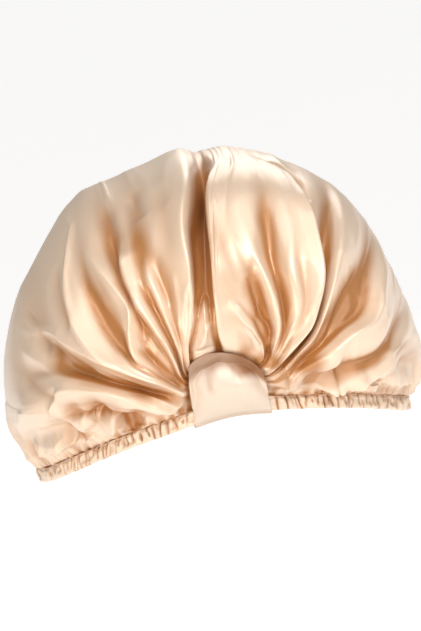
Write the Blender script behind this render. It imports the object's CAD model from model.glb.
import math
import bmesh
import bpy
import numpy as np
from mathutils import Matrix, Vector


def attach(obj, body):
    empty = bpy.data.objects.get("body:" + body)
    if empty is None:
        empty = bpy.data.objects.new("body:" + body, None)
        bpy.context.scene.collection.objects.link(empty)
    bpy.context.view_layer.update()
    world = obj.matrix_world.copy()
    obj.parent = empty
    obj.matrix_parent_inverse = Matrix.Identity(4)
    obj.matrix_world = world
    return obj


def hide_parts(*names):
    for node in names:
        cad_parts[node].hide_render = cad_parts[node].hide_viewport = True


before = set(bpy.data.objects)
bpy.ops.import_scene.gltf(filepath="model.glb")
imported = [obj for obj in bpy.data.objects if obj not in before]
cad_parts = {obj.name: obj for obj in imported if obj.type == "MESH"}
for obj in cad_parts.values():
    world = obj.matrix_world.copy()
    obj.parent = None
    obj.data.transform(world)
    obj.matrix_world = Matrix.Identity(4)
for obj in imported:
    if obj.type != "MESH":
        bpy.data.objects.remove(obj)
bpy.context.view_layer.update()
print("frame loaded")

# Camera: at the photo's angle, turned about its own axis as the photo is.
view = {
    "azimuth": math.radians(-3.5), "elevation": math.radians(6.8), "roll": math.radians(10.8),
    "distance": 2.5, "metresPerPixel": 0.4808e-3, "imageWidth": 421, "imageHeight": 631,
    "originAt": (225, 444),                          # where the row's origin falls in the picture
}


def addCamera(v):
    back = Vector((math.sin(v["azimuth"]) * math.cos(v["elevation"]),
                   -math.cos(v["azimuth"]) * math.cos(v["elevation"]), math.sin(v["elevation"])))
    right = Vector((math.cos(v["azimuth"]), math.sin(v["azimuth"]), 0))
    up = back.cross(right)
    across = right * math.cos(v["roll"]) - up * math.sin(v["roll"])
    upwards = right * math.sin(v["roll"]) + up * math.cos(v["roll"])
    offX = (v["originAt"][0] - v["imageWidth"] / 2) * v["metresPerPixel"]
    offY = (v["originAt"][1] - v["imageHeight"] / 2) * v["metresPerPixel"]
    place = back * v["distance"] - across * offX + upwards * offY
    camera = bpy.data.cameras.new("camera")
    camera.sensor_fit = "HORIZONTAL"
    camera.sensor_width = 36
    camera.lens = 36 * v["distance"] / (v["imageWidth"] * v["metresPerPixel"])
    camera.clip_end = 20
    holder = bpy.data.objects.new("camera", camera)
    bpy.context.scene.collection.objects.link(holder)
    turn = Matrix((across, upwards, back)).transposed().to_4x4()
    holder.matrix_world = Matrix.Translation(place) @ turn
    bpy.context.scene.camera = holder


addCamera(view)
print("camera placed")


# Helpers
def smooth(x, low, high):
    t = np.clip((x - low) / (high - low), 0, 1)
    return t * t * (3 - 2 * t)


def lerp(a, b, t):
    return a + (b - a) * t


def between(values, place, stations):              # a smooth curve through values given at stations
    values = np.asarray(values, float)
    stations = np.asarray(stations, float)
    last = len(stations) - 1
    t = np.clip(place, stations[0], stations[last])
    k = np.clip(np.searchsorted(stations, t, side="left") - 1, 0, last - 1)
    low = np.maximum(np.arange(last + 1) - 1, 0)
    high = np.minimum(np.arange(last + 1) + 1, last)
    slope = (values[high] - values[low]) / (stations[high] - stations[low])
    span = stations[k + 1] - stations[k]
    u = (t - stations[k]) / span
    return ((2 * u**3 - 3 * u**2 + 1) * values[k] + (u**3 - 2 * u**2 + u) * span * slope[k]
            + (3 * u**2 - 2 * u**3) * values[k + 1] + (u**3 - u**2) * span * slope[k + 1])


def hump(x, at, width):                            # 1 in its middle, falling away on both sides
    return np.exp(-(((x - at) / width) ** 2))


def noise(x, y, seed, cells=64):                   # smooth value noise, from -1 to 1
    table = np.random.RandomState(seed).uniform(-1, 1, (cells, cells))
    xi, yi = np.floor(x).astype(int), np.floor(y).astype(int)
    xf, yf = x - xi, y - yi
    xf, yf = xf * xf * (3 - 2 * xf), yf * yf * (3 - 2 * yf)
    a, b = table[xi % cells, yi % cells], table[(xi + 1) % cells, yi % cells]
    c, d = table[xi % cells, (yi + 1) % cells], table[(xi + 1) % cells, (yi + 1) % cells]
    return lerp(lerp(a, b, xf), lerp(c, d, xf), yf)


def creased(x, y, seed):                           # narrow crests between soft hollows, from -0.6 to 0.6
    return 0.6 - 1.2 * np.abs(noise(x, y, seed)) ** 0.7


def makeGrid(name, columns, rows, place):
    bm = bmesh.new()
    bmesh.ops.create_grid(bm, x_segments=columns, y_segments=rows, size=0.5, calc_uvs=True)
    mesh = bpy.data.meshes.new(name)
    bm.to_mesh(mesh)
    bm.free()
    co = np.empty(len(mesh.vertices) * 3)
    mesh.vertices.foreach_get("co", co)
    co = co.reshape(-1, 3)
    points, attributes = place(co[:, 0] + 0.5, co[:, 1] + 0.5)
    mesh.vertices.foreach_set("co", (points / 1000).ravel())     # millimetres to metres
    for key, values in attributes.items():
        mesh.attributes.new(key, "FLOAT", "POINT").data.foreach_set("value", values)
    mesh.update()
    piece = bpy.data.objects.new(name, mesh)
    bpy.context.scene.collection.objects.link(piece)
    return piece


def finishMesh(piece, merge=0.00002, thickness=0):
    bm = bmesh.new()
    bm.from_mesh(piece.data)
    bmesh.ops.remove_doubles(bm, verts=bm.verts, dist=merge)
    bmesh.ops.recalc_face_normals(bm, faces=bm.faces)
    if thickness:
        bmesh.ops.solidify(bm, geom=list(bm.faces), thickness=thickness)
    bm.to_mesh(piece.data)
    bm.free()
    piece.data.polygons.foreach_set("use_smooth", [True] * len(piece.data.polygons))
    piece.data.update()


# The smooth bag, in millimetres, as the solids have it.
hem = {"halfWidth": 90, "halfDepth": 102, "frontRise": 25, "backRise": 1, "sharpness": 1.7,
       "pinchRise": 2.5, "pinchHalfWidth": 22}
bag = {"halfWidth": 98.5, "top": 137.7, "widest": 41.7, "lipAngle": math.radians(28),
       "lipBulge": 3, "frontBulge": 13, "backBulge": 15, "frontSquareness": 0.2,
       "backSquareness": 0.06, "bulgeReach": 0.35, "bundleReach": 0.6, "hemReach": 0.15,
       "outlineStations": [0, 0.08, 0.18, 0.28, 0.36, 0.46, 0.56, 0.66, 0.75, 0.88, 1],
       "outlineReach": [1, 0.995, 0.99, 0.98, 1.007, 0.985, 1.03, 1.028, 1.044, 0.98, 1]}
bundle = {"halfWidth": 14, "height": 17, "bulge": 6, "power": 4}       # where the folds meet in the loop
nape = {"halfWidth": 26, "height": 14, "bulge": 4, "power": 2.4}
archFoot = {"fan": 0.4, "turn": 0.3}                # what their feet take of the fan and of the turn
casing = {"height": 7.2, "thickness": 4, "proud": 0.6, "depth": 0.9}


def hemCosine(x):
    return np.sqrt(np.maximum(0, 1 - (x / hem["halfWidth"]) ** 2))


def hemRise(x, front):
    arch = hemCosine(x) ** hem["sharpness"]
    pinch = hem["pinchRise"] * hump(x, 0, hem["pinchHalfWidth"])
    return np.where(front, hem["frontRise"] * arch + pinch, hem["backRise"] * arch)


def outline(a):
    turn = lerp(-bag["lipAngle"], math.pi + bag["lipAngle"], a)
    sine, deepest = np.sin(turn), math.sin(bag["lipAngle"])
    foot = hem["halfWidth"] / math.cos(bag["lipAngle"])
    reach = lerp(foot, bag["halfWidth"], smooth(sine, -deepest, 0))
    low = (bag["widest"] - casing["height"]) / deepest
    height = np.where(sine > 0, bag["top"] - bag["widest"], low)
    full = np.where(sine > 0, between(bag["outlineReach"], turn / math.pi, bag["outlineStations"]), 1)
    down = np.clip(-sine / deepest, 0, 1)
    out = reach * full + bag["lipBulge"] * 4 * down * (1 - down)
    return -out * np.cos(turn), bag["widest"] + height * full * sine


def smallArch(a, arch):
    edge, fan, turn = np.minimum(a, 1 - a), archFoot["fan"], archFoot["turn"]
    upTo = np.where(edge < fan, turn * edge / fan, lerp(turn, 0.5, (edge - fan) / (0.5 - fan))) * math.pi
    cosine, sine, power = np.abs(np.cos(upTo)), np.sin(upTo), arch["power"]
    reach = (cosine**power + sine**power) ** (-1 / power)
    return np.where(a < 0.5, -1, 1) * arch["halfWidth"] * cosine * reach, arch["height"] * sine * reach


def smoothBag(a, q):
    inner = np.maximum(0, 1 - np.maximum(np.maximum(-q, q - 2), 0))
    turn = np.clip(q, 0, 2) * math.pi / 2
    cosine, g = np.cos(turn), np.sin(turn)
    front = cosine > 0
    side = np.where(front, 1, -1)
    xOut, zOut = outline(a)
    frontArch, backArch = smallArch(a, bundle), smallArch(a, nape)
    xIn = np.where(front, frontArch[0], backArch[0])
    zIn = np.where(front, frontArch[1], backArch[1])
    base = casing["height"] + hemRise(np.zeros_like(a), front)
    x = lerp(xIn * inner, xOut, g)
    edge = np.minimum(a, 1 - a)
    hemX = lerp(xIn * inner, np.where(a < 0.5, -1, 1) * hem["halfWidth"], g)
    onHem = hemRise(hemX, front) + casing["height"]
    straight = lerp(base, casing["height"], g)
    nearHem = smooth(edge, 0, bag["hemReach"])
    z = lerp(base + zIn * inner, zOut, g) + (onHem - straight) * (1 - nearHem)
    small = np.where(front, bundle["bulge"], nape["bulge"]) * smooth(inner, 0, bag["bundleReach"])
    full = np.where(front, bag["frontBulge"], bag["backBulge"])
    bulge = lerp(small, full, smooth(g, 0, bag["bulgeReach"]))
    depth = hem["halfDepth"] * hemCosine(xIn * inner) + bulge
    square = np.where(front, bag["frontSquareness"], bag["backSquareness"])
    bagY = -depth * cosine * (1 + square * (1 - cosine**2))
    hemY = -side * hem["halfDepth"] * np.sqrt(np.maximum(0, 1 - (x / xOut) ** 2))
    return np.stack([x, lerp(hemY, bagY, nearHem), z], -1)


slopeStep = 0.004                                  # of the fan, over which slopes are taken


def acrossBag(a, q):                               # a short way round the fan, and the share it spans
    low, high = np.maximum(a - slopeStep, 0), np.minimum(a + slopeStep, 1)
    return smoothBag(high, q) - smoothBag(low, q), high - low


def outward(a, q):
    across, _ = acrossBag(a, q)
    along = smoothBag(a, q + slopeStep) - smoothBag(a, q - slopeStep)
    n = np.cross(across, along)
    n /= np.maximum(np.linalg.norm(n, axis=1, keepdims=True), 1e-9)
    n[q < -0.5] = (0, -1, 0)                       # inside the two patches where the folds meet
    n[q > 2.5] = (0, 1, 0)
    return n


# The folds: places round the fan and shares of the height at the stations, the spread of each side at
# the loop and at the outline, and how far the crest leans round the fan.
foldSizes = {"height": 12, "byLoop": 4, "fullBy": 0.75, "softness": 0.7, "crest": 1.5, "leanPower": 1.5,
             "start": (0, 0.08), "endBehind": 0.55, "hemFade": 0.035}
foldStations = [0.08, 0.2, 0.35, 0.5, 0.65, 0.8, 1]
folds = [
    # (name, places, heights, left spread, right spread, lean in mm)
    ("left hem roll", [0.08, 0.12, 0.148, 0.16, 0.158, 0.145, 0.12],
     [0.4, 0.7, 0.85, 0.85, 0.8, 0.5, 0.1], (0.035, 0.045), (0.02, 0.035), 1.5),
    ("left long fold", [0.16, 0.195, 0.216, 0.23, 0.258, 0.3, 0.37], [0.5, 0.9, 1, 1, 0.9, 0.7, 0.32],
     (0.02, 0.09), (0.015, 0.06), -1),
    ("left inner crease", [0.19, 0.23, 0.258, 0.33, 0.348, 0.355, 0.39],
     [0.3, 0.4, 0.5, 0.5, 0.5, 0.45, 0.28], (0.02, 0.05), (0.02, 0.06), 1),
    ("left panel edge", [0.235, 0.32, 0.355, 0.367, 0.385, 0.405, 0.42],
     [0.5, 0.75, 0.85, 0.85, 0.8, 0.55, 0.28], (0.02, 0.03), (0.015, 0.06), -2),
    ("left pinch", [0.275, 0.358, 0.392, 0.403, 0.415, 0.43, 0.45],
     [0.6, 0.8, 0.85, 0.8, 0.55, 0.4, 0.25], (0.015, 0.05), (0.015, 0.05), 0),
    ("left panel", [0.325, 0.4, 0.443, 0.462, 0.475, 0.495, 0.512],
     [0.8, 1.05, 1.1, 1.2, 1.25, 1.2, 0.45], (0.03, 0.12), (0.018, 0.022), 2.5),
    ("valley lobe", [0.42, 0.452, 0.475, 0.488, 0.497, 0.513, 0.527], [0.75, 0.92, 0.65, 0.1, 0, 0, 0],
     (0.07, 0.05), (0.07, 0.04), 0),
    ("right panel", [0.515, 0.506, 0.516, 0.528, 0.533, 0.538, 0.545],
     [0.75, 1, 1.15, 1.25, 1.25, 1.05, 0.1], (0.014, 0.014), (0.1, 0.1), -4),
    ("triangle", [0.72, 0.6, 0.545, 0.54, 0.545, 0.548, 0.555], [0.7, 0.95, 0.75, 0.3, 0.1, 0, 0],
     (0.18, 0.08), (0.015, 0.03), 2.5),
    ("right inner fold", [0.765, 0.71, 0.64, 0.588, 0.57, 0.568, 0.57],
     [0.5, 0.85, 0.95, 0.9, 1, 0.95, 0.15], (0.02, 0.05), (0.02, 0.1), -1.5),
    ("right middle fold", [0.79, 0.75, 0.705, 0.655, 0.63, 0.61, 0.595], [0.4, 0.6, 0.8, 0.9, 1, 1, 0.15],
     (0.02, 0.1), (0.02, 0.1), 0),
    ("right panel edge", [0.82, 0.785, 0.75, 0.705, 0.665, 0.638, 0.615],
     [0.55, 0.85, 1.1, 1.2, 1.2, 1.05, 0.25], (0.02, 0.1), (0.012, 0.016), 2.5),
    ("right second fold", [0.85, 0.82, 0.79, 0.75, 0.722, 0.705, 0.695],
     [0.5, 0.8, 0.9, 0.9, 0.85, 0.7, 0.12], (0.02, 0.02), (0.02, 0.06), -2.5),
    ("right long fold", [0.905, 0.868, 0.848, 0.834, 0.832, 0.8, 0.775],
     [0.35, 0.6, 0.85, 0.95, 0.9, 0.65, 0.1], (0.02, 0.035), (0.03, 0.06), -1.5),
    ("right hem roll", [0.98, 0.965, 0.945, 0.925, 0.905, 0.885, 0.86],
     [0.2, 0.3, 0.4, 0.5, 0.5, 0.35, 0.05], (0.02, 0.03), (0.02, 0.04), 0),
]
# Creases and small ridges between the folds, which fade in and out at their ends.
wrinkleFade = {"start": (-0.12, 0.15), "end": (0.85, 1.15), "power": 1.5}
wrinkles = [
    # (name, reaches, places, heights in mm at both ends, half width in mm)
    ("central valley", [0.36, 0.44, 0.56, 0.65, 0.77, 0.93], [0.489, 0.493, 0.502, 0.507, 0.514, 0.525],
     (-6, -7), 4.2),
    ("lobe right crease", [0.07, 0.2, 0.3, 0.38], [0.492, 0.482, 0.488, 0.494], (-1.4, -3), 0.9),
    ("lobe left crease", [0.08, 0.13, 0.2, 0.3, 0.4], [0.36, 0.39, 0.424, 0.457, 0.482],
     (-1.4, -2.5), 0.9),
    ("lobe cross fold", [0.14, 0.2, 0.25], [0.43, 0.455, 0.478], (2, 1.6), 2),
    ("left valley", [0.18, 0.3, 0.36, 0.45, 0.53, 0.6, 0.72],
     [0.16, 0.172, 0.18, 0.188, 0.193, 0.19, 0.19], (-3, -2), 3.5),
    ("left side crease", [0.54, 0.66, 0.78], [0.202, 0.212, 0.222], (-2.2, -1.2), 2.4),
    ("left side rim", [0.46, 0.59, 0.68, 0.81, 0.93], [0.22, 0.227, 0.231, 0.234, 0.223],
     (2.4, 2.2), 2.4),
    ("left pocket", [0.07, 0.14, 0.2, 0.27, 0.36], [0.19, 0.22, 0.24, 0.264, 0.28], (-2, -3.5), 2.2),
    ("left inner line", [0.33, 0.375, 0.42, 0.475, 0.54, 0.68, 0.8],
     [0.25, 0.263, 0.285, 0.325, 0.342, 0.348, 0.352], (1.6, 1.2), 2),
    ("left grey groove", [0.52, 0.62, 0.74, 0.82], [0.358, 0.373, 0.379, 0.386], (-2.4, -2), 4.5),
    ("left pinch groove", [0.07, 0.16, 0.27, 0.355, 0.42, 0.5], [0.25, 0.315, 0.356, 0.372, 0.381, 0.39],
     (-2, -3.5), 1.7),
    ("left pinch line", [0.2, 0.35, 0.5, 0.62], [0.375, 0.405, 0.417, 0.425], (-1.2, -1), 1.6),
    ("left top dent", [0.69, 0.76, 0.84, 0.92], [0.392, 0.395, 0.397, 0.402], (-2, -2.5), 4),
    ("left upper dent", [0.8, 0.87, 0.93], [0.431, 0.434, 0.438], (-1.5, -1.5), 3),
    ("right inner groove", [0.08, 0.17, 0.23, 0.265, 0.335, 0.42],
     [0.745, 0.69, 0.655, 0.623, 0.6, 0.585], (-2.5, -4), 2),
    ("right middle groove", [0.19, 0.265, 0.32, 0.41, 0.54, 0.64, 0.76, 0.93],
     [0.74, 0.71, 0.685, 0.65, 0.615, 0.602, 0.597, 0.59], (-3.5, 0), 3),
    ("right panel crease", [0.1, 0.2, 0.34, 0.44, 0.54, 0.64, 0.69, 0.79, 0.895],
     [0.845, 0.81, 0.772, 0.732, 0.709, 0.688, 0.675, 0.654, 0.639], (-3, -5), 1.5),
    ("right thin crease", [0.4, 0.47, 0.58, 0.68, 0.8], [0.763, 0.737, 0.711, 0.694, 0.678],
     (-1.4, -1), 1.2),
    ("right side groove", [0.15, 0.24, 0.34, 0.41, 0.47, 0.55, 0.72],
     [0.865, 0.838, 0.812, 0.787, 0.777, 0.772, 0.757], (-3, -2), 4),
    ("right hem groove", [0.59, 0.615, 0.685, 0.775, 0.87], [0.985, 0.95, 0.914, 0.897, 0.888],
     (-3.5, -1.5), 2),
    ("right short groove", [0.385, 0.4, 0.457, 0.513], [0.975, 0.93, 0.87, 0.86], (-2.2, -1.4), 4),
    ("left lower groove", [0.534, 0.6, 0.673], [0.065, 0.115, 0.127], (-2.5, -1.5), 2.2),
    ("left puff groove", [0.4, 0.47, 0.55, 0.6], [0.11, 0.12, 0.118, 0.1], (-3.5, -3), 3.5),
    ("left puff ridge", [0.5, 0.6, 0.68, 0.74], [0.075, 0.09, 0.1, 0.13], (2, 2.5), 4),
    ("left side ridge", [0.62, 0.72, 0.82, 0.92], [0.17, 0.175, 0.19, 0.195], (2.2, 2), 4),
    ("left side dent", [0.7, 0.8, 0.9], [0.145, 0.15, 0.16], (-2.5, -2), 3.5),
    ("left end fold", [0.8, 0.88, 0.96], [0.215, 0.23, 0.24], (-1.8, -1.5), 3),
    ("left upper rim", [0.7, 0.8, 0.9], [0.26, 0.28, 0.305], (-2, -1.5), 4),
    ("left pouch", [0.7, 0.78, 0.88, 0.95], [0.105, 0.12, 0.115, 0.09], (2.5, 2), 6),
    ("left panel streak", [0.4, 0.55, 0.7, 0.85], [0.428, 0.435, 0.45, 0.462], (-1.2, -1.4), 5),
    ("left facet ridge", [0.45, 0.6, 0.75], [0.3, 0.31, 0.325], (1.4, 1), 3),
    ("right side ridge", [0.3, 0.45, 0.6, 0.8], [0.89, 0.865, 0.86, 0.84], (1.6, 1.5), 4),
    ("right hem ridge", [0.35, 0.5, 0.62, 0.75], [0.93, 0.91, 0.925, 0.92], (1.5, 2), 3.5),
    ("left long line", [0.1, 0.2, 0.35, 0.5, 0.65, 0.8, 0.95],
     [0.167, 0.195, 0.216, 0.23, 0.258, 0.3, 0.36], (1.8, 2.4), 1.8),
    ("left hem line", [0.08, 0.17, 0.25, 0.325, 0.4, 0.47, 0.55, 0.65, 0.72, 0.76],
     [0.109, 0.12, 0.126, 0.14, 0.157, 0.162, 0.159, 0.156, 0.14, 0.115], (2.4, 3), 1.8),
    ("left hem fold under", [0.3, 0.4, 0.47, 0.55, 0.65, 0.72], [0.112, 0.132, 0.138, 0.136, 0.134, 0.12],
     (-2, -2.4), 2),
    ("left edge line", [0.1, 0.235, 0.345, 0.465, 0.55, 0.655, 0.74],
     [0.25, 0.328, 0.354, 0.365, 0.37, 0.385, 0.397], (1, 1.4), 1.7),
    ("left panel line", [0.3, 0.46, 0.63, 0.79, 0.9], [0.45, 0.457, 0.47, 0.497, 0.51], (0.8, 1.2), 2.6),
    ("right inner line", [0.15, 0.2, 0.275, 0.315, 0.39, 0.475, 0.53],
     [0.735, 0.715, 0.69, 0.655, 0.628, 0.6, 0.575], (1.2, 0), 2),
    ("right panel hollow", [0.2, 0.35, 0.5, 0.65], [0.545, 0.55, 0.548, 0.545], (-1, -1.8), 6),
    ("right panel line", [0.34, 0.425, 0.51, 0.6, 0.8], [0.758, 0.718, 0.7, 0.68, 0.635], (1, 1.2), 2.4),
    ("right second line", [0.17, 0.31, 0.405, 0.47, 0.58, 0.68, 0.8],
     [0.83, 0.8, 0.77, 0.745, 0.717, 0.7, 0.688], (1, 1.4), 1.7),
    ("right long line", [0.35, 0.465, 0.55, 0.625, 0.7, 0.79], [0.865, 0.84, 0.832, 0.83, 0.815, 0.79],
     (1.4, 2), 2.2),
    ("triangle line", [0.085, 0.125, 0.156, 0.2, 0.245, 0.306], [0.72, 0.69, 0.645, 0.592, 0.562, 0.543],
     (1.8, 1.8), 1.7),
    ("top tuck", [0.84, 0.9, 0.95, 0.98], [0.652, 0.643, 0.625, 0.6], (-1, -3.6), 3.4),
]
# Single puffs and hollows.
puffs = [
    # (name, place, reach, half size round the fan, half size along it, height in mm)
    ("triangle corner", 0.7, 0.165, 0.018, 0.035, 1.8),
    ("left puff", 0.075, 0.465, 0.045, 0.022, 2.8),
    ("left second puff", 0.09, 0.605, 0.045, 0.03, 2.8),
    ("left hollow", 0.1, 0.53, 0.04, 0.028, -2.8),
    ("left low hollow", 0.04, 0.39, 0.035, 0.03, -2.4),
    ("left end puff", 0.105, 0.85, 0.03, 0.09, 2.5),
    ("left end hollow", 0.06, 0.7, 0.03, 0.035, -2),
    ("right puff", 0.925, 0.52, 0.03, 0.03, 2.6),
    ("right end puff", 0.955, 0.72, 0.025, 0.05, 2.4),
    ("right low hollow", 0.95, 0.45, 0.025, 0.02, -2),
]


def fanReach(q):                                   # 0 at the loop, 1 at the outline and behind it
    return np.where(q > 1, 1, np.sin(np.clip(q, 0, 1) * math.pi / 2))


def follow(u, q):                                  # columns run along the folds
    places = [0] + [float(np.mean(at)) for _, at, *_ in folds] + [1]
    values = [between(at, fanReach(q), foldStations) for _, at, *_ in folds]
    values = [np.zeros_like(u)] + values + [np.ones_like(u)]
    a = np.zeros_like(u)
    for k in range(len(places) - 1):
        inside = (u >= places[k]) & (u <= places[k + 1])
        share = (u - places[k]) / (places[k + 1] - places[k])
        a = np.where(inside, lerp(values[k], values[k + 1], share), a)
    return a


def foldShape(a, q):                               # height over the bag and sideways lean, in mm
    f = foldSizes
    reach = fanReach(q)
    behind = q > 1
    near = np.where(behind, 1, smooth(reach, *f["start"]))
    over = np.where(behind, smooth(np.sin(np.clip(q, 0, 2) * math.pi / 2), f["endBehind"], 1), 1)
    edge = smooth(np.minimum(a, 1 - a), 0, f["hemFade"])
    full = lerp(f["byLoop"], f["height"], smooth(reach, 0, f["fullBy"]))
    total, leaning = np.ones_like(a), np.zeros_like(a)
    for _, at, heights, left, right, lean in folds:
        height = full * np.maximum(0, between(heights, reach, foldStations))
        away = a - between(at, reach, foldStations)
        spread = np.where(away < 0, lerp(*left, reach), lerp(*right, reach))
        ridge = height - np.maximum(height, f["softness"]) * np.abs(away / spread) ** f["crest"]
        share = np.exp(np.maximum(ridge, -f["height"]) / f["softness"])
        total += share
        leaning += share * lean * np.clip(ridge / f["height"], 0, 1) ** f["leanPower"]
    fade = near * over * edge
    return f["softness"] * np.log(total) * fade, leaning / total * fade


def wrinkleOffset(a, q, perPlace):                 # perPlace is millimetres for one turn of the fan
    w = wrinkleFade
    reach = fanReach(q)
    total = np.zeros_like(a)
    for _, reaches, places, heights, width in wrinkles:
        along = (reach - reaches[0]) / (reaches[-1] - reaches[0])
        fade = smooth(along, *w["start"]) * (1 - smooth(along, *w["end"])) * (q < 1)
        away = np.abs(a - between(places, reach, reaches)) * perPlace
        total += lerp(*heights, np.clip(along, 0, 1)) * fade * np.exp(-(away / width) ** w["power"])
    return total


def puffOffset(a, q):
    reach = fanReach(q)
    total = np.zeros_like(a)
    for _, place, along, halfPlace, halfAlong, height in puffs:
        total += height * hump(a, place, halfPlace) * hump(reach, along, halfAlong) * (q < 1)
    return total


# Crown: satin in two halves that meet at the outline, with the finer creases and gathers.
crownSizes = {"columns": 400, "rows": 240, "crowding": 0.55, "patch": 0.03, "rowPower": 1.15,
              "aboveHem": (60, 330),               # mm to a turn of the fan, at the loop and at the outline
              "level": (3, 14), "clearOfLoop": (0.05, 0.18)}
# Noise over the crown. Sizes are mm of height, but sway is a share of the fan and evenness a factor.
crownNoise = {
    # name: (size, cells round the fan, cells along it, seed)
    "sway": (0.012, 9, 4, 6),
    "creases": (1.4, 34, 3.5, 1),
    "thin creases": (0.7, 71, 6, 2),
    "evenness": (0.5, 7, 3, 8),
    "broad swell": (1.8, 8, 3.2, 15),
    "middle swell": (1.5, 17, 2.6, 9),
    "small swell": (0.5, 31, 5.5, 10),
    "pleats by the loop": (1.4, 40, 2, 3),
}
crownFades = {"creases": (0.05, 0.25), "swell": (0.2, 0.5), "top": (0.85, 1), "topShare": 0.5,
              "meanEvenness": 0.75, "pleatsStart": (0.02, 0.1), "pleatsEnd": (0.25, 0.6)}
# Short upright gathers that rise from the casing, in mm.
gathers = {"pitch": (3.2, 6.6), "height": (1.2, 3.8), "width": (0.9, 2.2), "tall": (4, 26), "slant": 0.5,
           "seed": 4, "halfRound": 305, "reach": 25, "widenBy": 14, "crest": 1.4, "start": 1.2,
           "behindTaller": 1.8, "behind": (1, 1.3)}
# The cloth just above the casing, in mm. It pouches less where it nears the outline.
overHem = {"pouch": 6, "pouchCell": (9.5, 11), "pouchStart": 6, "pouchReach": 24, "topShare": 0.3,
           "topFade": (0.75, 0.95), "line": 2, "lineCell": (6, 30), "lineStart": 1.5, "lineReach": 16,
           "hang": 1.2, "hangStart": 1.2, "hangReach": 8, "sag": 0.6, "sagAt": 2, "sagReach": 1.5,
           "wobble": 0.9, "wobbleCell": 1.9, "wobbleReach": 2}
# Left of the loop the folds dip as they go under it, with a lip over the dip.
byLoop = {"dip": 1.5, "dipAt": 0.05, "dipReach": 0.022, "dipEnd": (0.5, 0.56),
          "lip": 1.5, "lipAt": 0.1, "lipReach": 0.018, "lipStart": (0.33, 0.38), "lipEnd": (0.46, 0.49)}
leftEnd = {"tuck": 3.5, "at": 0.05, "reach": 0.06, "start": (0.75, 1)}       # the left end is drawn in
# What counts as a hollow and takes the deep colour, in mm, but near and far are shares of the fan. At the
# depths in full the colour is the deep one.
hollows = {"near": 0.02, "far": 0.055, "farShare": (0.4, 0.15), "farFade": (0.65, 0.85), "lines": 0.8,
           "pouch": 1.5, "hem": 1.5, "hemReach": 1.5, "gathers": 2.6, "gathersUnder": 1.6,
           "gathersReach": 6, "full": (1.6, 3.6), "fullBy": 0.4}


def crownRows(v, back):                            # from the loop or nape to the outline
    t = np.clip((v - crownSizes["patch"]) / (1 - crownSizes["patch"]), 0, 1)
    inner = np.clip(1 - v / crownSizes["patch"], 0, 1)
    q = t ** crownSizes["rowPower"] - inner
    return 2 - q if back else q


def crownLayer(name, u, g, shape=noise):
    size, round_, along, seed = crownNoise[name]
    return size * shape(u * round_, g * along, seed)


def fineCreases(u, g, clearOfLoop):                # creases, swells and the pleats by the loop
    f = crownFades
    sway = crownLayer("sway", u, g)
    fine = crownLayer("creases", u + sway, g, creased) + crownLayer("thin creases", u - sway, g, creased)
    fine = fine * smooth(g, *f["creases"]) * (f["meanEvenness"] + crownLayer("evenness", u, g))
    swell = (crownLayer("broad swell", u, g) + crownLayer("middle swell", u + sway, g)
             + crownLayer("small swell", u + 2 * sway, g))
    fine = (fine + swell * smooth(g, *f["swell"])) * lerp(1, f["topShare"], smooth(g, *f["top"]))
    pleats = crownLayer("pleats by the loop", u, g, creased)
    return fine + pleats * smooth(g, *f["pleatsStart"]) * (1 - smooth(g, *f["pleatsEnd"])) * clearOfLoop


def hemGathers(points, above, behind):             # their height, and the place along the hem in mm
    s = gathers
    turn = np.arctan2(points[:, 0] / hem["halfWidth"], -points[:, 1] / hem["halfDepth"])
    along = turn * (hem["halfWidth"] + hem["halfDepth"]) / 2
    random = np.random.RandomState(s["seed"])
    total = np.zeros_like(above)
    place = -s["halfRound"]
    while place < s["halfRound"]:
        width, tall = random.uniform(*s["width"]), random.uniform(*s["tall"])
        height, slant = random.uniform(*s["height"]), random.uniform(-1, 1) * s["slant"]
        near = np.abs(along - place) < s["reach"]
        away = along[near] - place - slant * above[near]
        away = away / (width * (1 + above[near] / s["widenBy"]))
        longer = tall * lerp(1, s["behindTaller"], behind[near])
        total[near] += height * np.exp(-np.abs(away) ** s["crest"] - (above[near] / longer) ** 2)
        place += random.uniform(*s["pitch"])
    return total, along


def hemFullness(along, above, g):                  # the bag pouches out over the casing here and there
    h = overHem
    full = 1 + h["pouch"] * noise(along / h["pouchCell"][0], above / h["pouchCell"][1], 5)
    full = full * smooth(above, 0, h["pouchStart"]) * hump(above, 0, h["pouchReach"])
    return full * lerp(1, h["topShare"], smooth(g, *h["topFade"]))


def hemLines(along, above):                        # fine creases that rise from the casing
    h = overHem
    lines = creased(along / h["lineCell"][0], above / h["lineCell"][1], 11)
    return -h["line"] * lines * hump(above, 0, h["lineReach"]) * smooth(above, 0, h["lineStart"])


def hemDrop(along, above, clearOfLoop):            # how far the lowest edge sags, unevenly
    h = overHem
    wobble = np.maximum(noise(along / h["wobbleCell"], above * 0, 16), 0) * np.exp(-above / h["wobbleReach"])
    return (h["sag"] * hump(above, h["sagAt"], h["sagReach"]) + h["wobble"] * wobble) * clearOfLoop


def dipAndLip(a, g):
    b = byLoop
    dip = b["dip"] * hump(g, b["dipAt"], b["dipReach"]) * (1 - smooth(a, *b["dipEnd"]))
    lip = b["lip"] * hump(g, b["lipAt"], b["lipReach"])
    return dip, lip * smooth(a, *b["lipStart"]) * (1 - smooth(a, *b["lipEnd"]))


def besideFolds(a, q, step):                       # mean height of the folds a step to either side
    return (foldShape(np.maximum(a - step, 0), q)[0] + foldShape(np.minimum(a + step, 1), q)[0]) / 2


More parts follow.
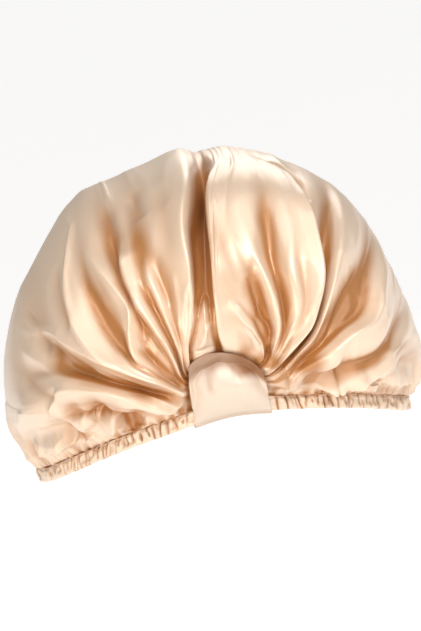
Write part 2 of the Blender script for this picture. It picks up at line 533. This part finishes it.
def crownPoints(back):
    c, h, d = crownSizes, overHem, hollows

    def place(u, v):
        q = crownRows(v, back)
        u = lerp(u, (1 - np.cos(math.pi * u)) / 2, c["crowding"])
        a = follow(u, q)
        g = np.sin(np.clip(q, 0, 2) * math.pi / 2)
        base = smoothBag(a, q)
        above = np.minimum(a, 1 - a) * lerp(*c["aboveHem"], g)
        n = outward(a, q)
        n[:, 2] = np.maximum(n[:, 2], -smooth(above, *c["level"]))   # it doesn't droop over the casing
        across, share = acrossBag(a, q)
        length = np.linalg.norm(across, axis=1)
        sideways = across / np.maximum(length, 1e-6)[:, None]
        clearOfLoop = smooth(g, *c["clearOfLoop"])                   # nothing swells beside the loop

        fold, lean = foldShape(a, q)
        lines = wrinkleOffset(a, q, length / share) + puffOffset(a, q)
        dip, lip = (0, 0) if back else dipAndLip(a, g)
        rise, along = hemGathers(base, above, smooth(q, *gathers["behind"]))
        full = hemFullness(along, above, g)
        hang = h["hang"] * smooth(above, 0, h["hangStart"]) * np.exp(-above / h["hangReach"])
        tuck = leftEnd["tuck"] * hump(a, leftEnd["at"], leftEnd["reach"]) * smooth(g, *leftEnd["start"])
        offset = fold + lines + fineCreases(u, g, clearOfLoop) + lip - dip - tuck
        nearHem = rise * smooth(above, 0, gathers["start"]) + full + hang + hemLines(along, above)
        points = base + n * (offset + nearHem * clearOfLoop)[:, None] + sideways * lean[:, None]
        points[:, 2] -= hemDrop(along, above, clearOfLoop)

        deep = np.maximum(besideFolds(a, q, d["near"]) - fold, 0) - d["lines"] * lines + dip
        farShare = lerp(*d["farShare"], smooth(g, *d["farFade"]))
        deep += np.maximum(besideFolds(a, q, d["far"]) - fold, 0) * farShare
        deep += d["gathers"] * np.maximum(d["gathersUnder"] - rise, 0) * np.exp(-above / d["gathersReach"])
        deep += d["pouch"] * np.maximum(-full, 0) + d["hem"] * np.exp(-above / d["hemReach"])
        return points, {"foldShare": 1 - np.clip(deep / lerp(*d["full"], smooth(g, 0, d["fullBy"])), 0, 1)}
    return place


crownFront = makeGrid("crown_front_cloth", crownSizes["columns"], crownSizes["rows"], crownPoints(False))
crownBack = makeGrid("crown_back_cloth", crownSizes["columns"], crownSizes["rows"], crownPoints(True))
for piece in (crownFront, crownBack):
    finishMesh(piece)
print("crown made", len(crownFront.data.polygons), len(crownBack.data.polygons))


# Casing: satin gathered over the elastic, uneven as elastic draws cloth in. Creases are in mm, and where
# they start and end is in half heights of the casing, as the stitch line is.
casingSizes = {"columns": 1900, "rows": 40, "corner": 5, "lower": 0.35, "lift": 0.25,
               "pitch": (1.8, 5), "width": (0.35, 0.75), "depth": (0.6, 1.7), "slant": 0.9, "seed": 12,
               "lowEnd": (-1.8, 0), "highEnd": (0.2, 1.8), "endFade": 0.3, "reach": 4, "crest": 1.3,
               "stitchDepth": 0.5, "stitchAt": 0.72, "stitchWidth": 0.12, "stitchUneven": (0.7, 0.6),
               "stitchCell": 1.6, "swell": (0.45, 0.8), "swellCell": (2.8, 1.3), "edge": 0.05,
               "edgeCell": 3, "creaseColour": 0.8, "stitchColour": 0.5}


def casingCreases(along, up):                      # narrow creases across the casing
    s = casingSizes
    random = np.random.RandomState(s["seed"])
    total = np.zeros_like(along)
    place = 0
    while place < math.pi * (hem["halfWidth"] + hem["halfDepth"]):
        width, depth = random.uniform(*s["width"]), random.uniform(*s["depth"])
        slant = random.uniform(-1, 1) * s["slant"]
        low, high = random.uniform(*s["lowEnd"]), random.uniform(*s["highEnd"])
        near = np.abs(along - place) < s["reach"]
        away = (along[near] - place - slant * up[near]) / width
        over = smooth(up[near], low - s["endFade"], low + s["endFade"])
        over = over * (1 - smooth(up[near], high - s["endFade"], high + s["endFade"]))
        total[near] += depth * np.exp(-np.abs(away) ** s["crest"]) * over
        place += random.uniform(*s["pitch"])
    return total


def casingPoints(u, v):
    s = casingSizes
    turn, round_ = u * 2 * math.pi, v * 2 * math.pi
    outX, outY = np.sin(turn) / hem["halfWidth"], -np.cos(turn) / hem["halfDepth"]
    length = np.hypot(outX, outY)
    footX, footY = hem["halfWidth"] * np.sin(turn), -hem["halfDepth"] * np.cos(turn)
    foot = hemRise(footX, np.cos(turn) > 0)
    along = u * math.pi * (hem["halfWidth"] + hem["halfDepth"])
    half, tall = casing["thickness"] / 2, (casing["height"] - s["lower"]) / 2
    power = s["corner"]
    size = (np.abs(np.cos(round_)) ** power + np.abs(np.sin(round_)) ** power) ** (-1 / power)
    out, up = np.cos(round_) * size, np.sin(round_) * size
    creases = casingCreases(along, up)
    uneven = s["stitchUneven"][0] + s["stitchUneven"][1] * noise(along / s["stitchCell"], up, 13)
    stitch = hump(up, s["stitchAt"], s["stitchWidth"]) * uneven
    swell = s["swell"][0] + s["swell"][1] * noise(along / s["swellCell"][0], up * s["swellCell"][1], 7)
    folded = (swell - creases - s["stitchDepth"] * stitch) * np.sqrt(np.maximum(out, 0))
    reach = casing["proud"] - half + out * half + folded
    lift = tall + up * tall * (1 + s["edge"] * noise(along / s["edgeCell"], up * 0, 14)) + s["lift"]
    share = 1 - np.clip(s["creaseColour"] * creases + s["stitchColour"] * stitch, 0, 1)
    points = np.stack([footX + outX / length * reach, footY + outY / length * reach, foot + lift], -1)
    return points, {"foldShare": share}


casingCloth = makeGrid("casing_cloth", casingSizes["columns"], casingSizes["rows"], casingPoints)
finishMesh(casingCloth)
print("casing made", len(casingCloth.data.polygons))


# Loop: the same strip as the solid, drawn finer, and standing clear of the folds behind it. Along the strip
# it goes down the front until turnsAt, under the casing until insideAt, and then up inside.
loop = {"columns": 90, "rows": 160, "thickness": 0.0009, "turnsAt": 0.62, "insideAt": 0.82,
        "halfWidth": 18, "rise": 16.8, "dome": 6.2, "domePower": 3, "skew": 4.6,
        "taper": 0.07, "taperPower": 1.5, "fullness": 10, "edge": 4, "edgePower": 4,
        "turnUp": 9, "gap": 0.35, "ease": 0.6, "droop": 0.9, "clear": 1.2, "clearFrom": (0.1, 0.3),
        "up": [0, 0.13, 0.3, 0.48, 0.66, 0.82, 0.94, 1],
        "middle": [0, 0.5, 0.85, 1, 0.9, 0.66, 0.36, 0.12],
        "sides": [0, 0.3, 0.7, 0.9, 1, 1, 1, 1],
        "waves": [(0.8, 5, 3, 21), (0.2, 11, 6, 22)],              # mm, cells across and up, seed
        "dent": {"at": -0.5, "width": 0.16, "depth": 1.3, "up": 0.68, "tall": 0.22}}
# The deep colour: a band along the top that dips right of the middle, a streak in the dent, and the foot.
loopShade = {"from": 0.66, "over": 0.2, "leftShare": 0.75, "fullFrom": 0.5,
             "dip": 0.09, "dipAt": 0.4, "dipWidth": 0.25, "uneven": 0.04, "unevenCells": 6,
             "streak": 0.35, "streakAt": (-0.5, 0.6), "streakLean": 0.3, "streakWidth": 0.1,
             "streakStart": (0.35, 0.5), "streakEnd": (0.7, 0.8), "foot": 0.25, "footTall": 0.08}
loopReach = {"low": (-32, -4), "cells": 72, "near": 3, "softenings": 3}      # a grid of mm over the loop


def clothAhead(x, z):                              # how far forward the crown reaches near each point
    low, cells, near = np.array(loopReach["low"], float), loopReach["cells"], loopReach["near"]
    co = np.empty(len(crownFront.data.vertices) * 3)
    crownFront.data.vertices.foreach_get("co", co)
    co = co.reshape(-1, 3) * 1000
    cell = np.floor(co[:, [0, 2]] - low).astype(int)
    inside = ((cell >= 0) & (cell < cells)).all(axis=1) & (co[:, 1] < 0)
    table = np.zeros((cells, cells))
    np.maximum.at(table, (cell[inside, 0], cell[inside, 1]), -co[inside, 1])
    soft = table
    for dx in range(-near, near + 1):
        for dz in range(-near, near + 1):
            if dx * dx + dz * dz <= near * near:
                soft = np.maximum(soft, np.roll(np.roll(table, dx, 0), dz, 1))
    for _ in range(loopReach["softenings"]):
        soft = sum((np.roll(soft, way, axis) for way in (1, -1) for axis in (0, 1)), soft) / 5
    px, pz = np.clip(x - low[0] - 0.5, 0, cells - 2), np.clip(z - low[1] - 0.5, 0, cells - 2)
    ix, iz = px.astype(int), pz.astype(int)
    fx, fz = px - ix, pz - iz
    return lerp(lerp(soft[ix, iz], soft[ix + 1, iz], fx),
                lerp(soft[ix, iz + 1], soft[ix + 1, iz + 1], fx), fz)


def loopColour(u, s, up):                          # 1 where the satin is light
    c = loopShade
    start = c["from"] - c["dip"] * hump(s, c["dipAt"], c["dipWidth"])
    start = start + c["uneven"] * noise(u * c["unevenCells"], up * 0, 23)
    band = lerp(c["leftShare"], 1, smooth(s, 0, c["fullFrom"])) * smooth(up, start, start + c["over"])
    streakX, streakUp = c["streakAt"]
    streak = c["streak"] * hump(s, streakX - c["streakLean"] * (up - streakUp), c["streakWidth"])
    streak = streak * smooth(up, *c["streakStart"]) * (1 - smooth(up, *c["streakEnd"]))
    return 1 - band - streak - c["foot"] * (1 - smooth(up, 0, c["footTall"]))


def loopPoints(u, v):
    c, dent = loop, loop["dent"]
    s = 2 * u - 1                                  # from -1 at the left edge to 1 at the right
    up = np.clip(1 - v / c["turnsAt"], 0, 1)
    under = np.clip((v - c["turnsAt"]) / (c["insideAt"] - c["turnsAt"]), 0, 1)
    inner = np.clip((v - c["insideAt"]) / (1 - c["insideAt"]), 0, 1)
    x = s * c["halfWidth"] * (1 - c["taper"] * up ** c["taperPower"])
    foot = hemRise(x, np.ones_like(x, bool))
    top = foot + casing["height"] + c["rise"] + c["dome"] * (1 - np.abs(s) ** c["domePower"]) - c["skew"] * s
    front = casing["proud"] + casing["depth"] + c["gap"] + c["ease"]
    inside = casing["proud"] - casing["thickness"] - c["gap"] - c["ease"]
    stand = lerp(c["edge"] * between(c["sides"], up, c["up"]),
                 c["fullness"] * between(c["middle"], up, c["up"]), 1 - s ** c["edgePower"])
    stand -= dent["depth"] * hump(s, dent["at"], dent["width"]) * hump(up, dent["up"], dent["tall"])
    for size, across, along, seed in c["waves"]:
        stand += size * noise(u * across, up * along, seed) * np.sin(up * math.pi)
    y = hem["halfDepth"] * hemCosine(x) + np.where(up > 0, front + stand, lerp(front, inside, under))
    below = c["gap"] + c["droop"] * np.sin(under * math.pi) ** 0.5
    z = np.where(up > 0, lerp(foot, top, up), foot - below + c["turnUp"] * inner)
    clear = lerp(y, clothAhead(x, z) + c["clear"], smooth(up, *c["clearFrom"]))
    y = np.where(up > 0, np.maximum(y, clear), y)
    return np.stack([x, -y, z], -1), {"foldShare": loopColour(u, s, up)}


loopCloth = makeGrid("loop_cloth", loop["columns"], loop["rows"], loopPoints)
finishMesh(loopCloth, thickness=loop["thickness"])
print("loop made", len(loopCloth.data.polygons))


# Materials
satinSizes = {"metallic": 0.22, "specular": 1.0, "anisotropic": 0.35, "coatRoughness": 0.24,
              "slubsPerMm": 1.4, "slubDetail": 2, "bumpStrength": 0.12, "bumpHeight": 0.3}    # height in mm
satins = {
    # name: (light, deep, roughness, sheen)
    "champagne satin": ("#ebd0b4", "#b57a40", 0.4, 0.45),     # broad soft gloss, golden brown in the folds
    "gathered satin": ("#ebd0b4", "#a8703c", 0.38, 0.3),      # short glints between dark creases
    "doubled satin": ("#dac7b3", "#8c5a2c", 0.54, 0.2),       # greyer and duller, as it lies flat and double
}


def linear(code):
    parts = [int(code[i:i + 2], 16) / 255 for i in (1, 3, 5)]
    return [p / 12.92 if p <= 0.04045 else ((p + 0.055) / 1.055) ** 2.4 for p in parts] + [1]


def addNode(tree, kind, settings, links):          # both by the names that Blender gives them
    node = tree.nodes.new(kind)
    for key, value in settings.items():
        if hasattr(node, key):
            setattr(node, key, value)
        else:
            node.inputs[key].default_value = value
    for key, output in links.items():
        tree.links.new(output, node.inputs[key])
    return node


def addMaterial(name, settings):
    material = bpy.data.materials.new(name)
    material.use_nodes = True
    shader = material.node_tree.nodes["Principled BSDF"]
    for key, value in settings.items():
        shader.inputs[key].default_value = value
    return material, material.node_tree, shader


def satin(name):                                   # the coat is the pale sheen over the colour
    s = satinSizes
    light, deep, roughness, sheen = satins[name]
    material, tree, shader = addMaterial(name, {
        "Metallic": s["metallic"], "Roughness": roughness, "Specular IOR Level": s["specular"],
        "Anisotropic": s["anisotropic"], "Coat Weight": sheen, "Coat Roughness": s["coatRoughness"]})
    share = addNode(tree, "ShaderNodeAttribute", {"attribute_name": "foldShare"}, {})
    colour = addNode(tree, "ShaderNodeMix", {"data_type": "RGBA", "A": linear(deep), "B": linear(light)},
                     {"Factor": share.outputs["Fac"]})
    place = addNode(tree, "ShaderNodeTexCoord", {}, {})
    weave = addNode(tree, "ShaderNodeTexNoise", {"Scale": s["slubsPerMm"] * 1000, "Detail": s["slubDetail"]},
                    {"Vector": place.outputs["Object"]})
    relief = addNode(tree, "ShaderNodeBump",
                     {"Strength": s["bumpStrength"], "Distance": s["bumpHeight"] / 1000},
                     {"Height": weave.outputs["Fac"]})
    tree.links.new(colour.outputs["Result"], shader.inputs["Base Color"])
    tree.links.new(relief.outputs["Normal"], shader.inputs["Normal"])
    return material


crownSatin = satin("champagne satin")
crownFront.data.materials.append(crownSatin)
crownBack.data.materials.append(crownSatin)
casingCloth.data.materials.append(satin("gathered satin"))
loopCloth.data.materials.append(satin("doubled satin"))
print("materials made")

for piece, node, slotName in ((crownFront, "crown", "crown_satin"),
                              (crownBack, "crown", "crown_satin"),
                              (casingCloth, "elastic_casing", "casing_satin"),
                              (loopCloth, "front_loop", "loop_satin")):
    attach(piece, "root")
    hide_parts(node)
print("pieces declared")

# Floor
floorSizes = {"size": 40, "below": 0.25, "colour": "#ffffff", "roughness": 0.9, "glow": 0.3}
bm = bmesh.new()
bmesh.ops.create_grid(bm, x_segments=1, y_segments=1, size=floorSizes["size"])
floorMesh = bpy.data.meshes.new("floor")
bm.to_mesh(floorMesh)
bm.free()
floor = bpy.data.objects.new("floor", floorMesh)
floor.location.z = -floorSizes["below"]
bpy.context.scene.collection.objects.link(floor)
white = linear(floorSizes["colour"])
floorMaterial, _, _ = addMaterial("pale floor", {  # matt, and glows a little, so that it stays white
    "Base Color": white, "Roughness": floorSizes["roughness"], "Emission Color": white,
    "Emission Strength": floorSizes["glow"]})
floorMesh.materials.append(floorMaterial)

# Lights, all but the sun aimed at the bonnet.
aimAt = (0, 0, 0.06)
lights = [
    # (name, place, size, watts, colour)
    ("key", (0.35, -1.4, 1.0), (0.6, 0.6), 12, "#fcf9fb"),
    ("side", (-0.9, -1.4, 0.1), (0.3, 0.6), 7, "#fff1e2"),
    ("rear", (0.4, 1.8, 0.9), (0.8, 0.8), 5, "#fffaf4"),
]
overhead = {"strength": 1.2, "angle": math.radians(70), "towards": (-0.25, 0.5, -1)}
sky = {"colour": "#f4f2ef", "strength": 0.36}


def addLamp(name, lamp, place, towards):
    holder = bpy.data.objects.new(name, lamp)
    holder.location = place
    holder.rotation_euler = Vector(towards).to_track_quat("-Z", "Y").to_euler()
    bpy.context.scene.collection.objects.link(holder)


for name, place, size, watts, tint in lights:
    area = bpy.data.lights.new(name, "AREA")
    area.shape = "RECTANGLE"
    area.size, area.size_y = size
    area.energy = watts
    area.color = linear(tint)[:3]
    addLamp(name, area, place, Vector(aimAt) - Vector(place))
sun = bpy.data.lights.new("overhead", "SUN")
sun.energy = overhead["strength"]
sun.angle = overhead["angle"]
addLamp("overhead", sun, (0, 0, 0), overhead["towards"])
world = bpy.context.scene.world or bpy.data.worlds.new("world")
bpy.context.scene.world = world
world.use_nodes = True
world.node_tree.nodes["Background"].inputs["Color"].default_value = linear(sky["colour"])
world.node_tree.nodes["Background"].inputs["Strength"].default_value = sky["strength"]
bpy.context.scene.view_settings.view_transform = "Standard"
print("lights placed")
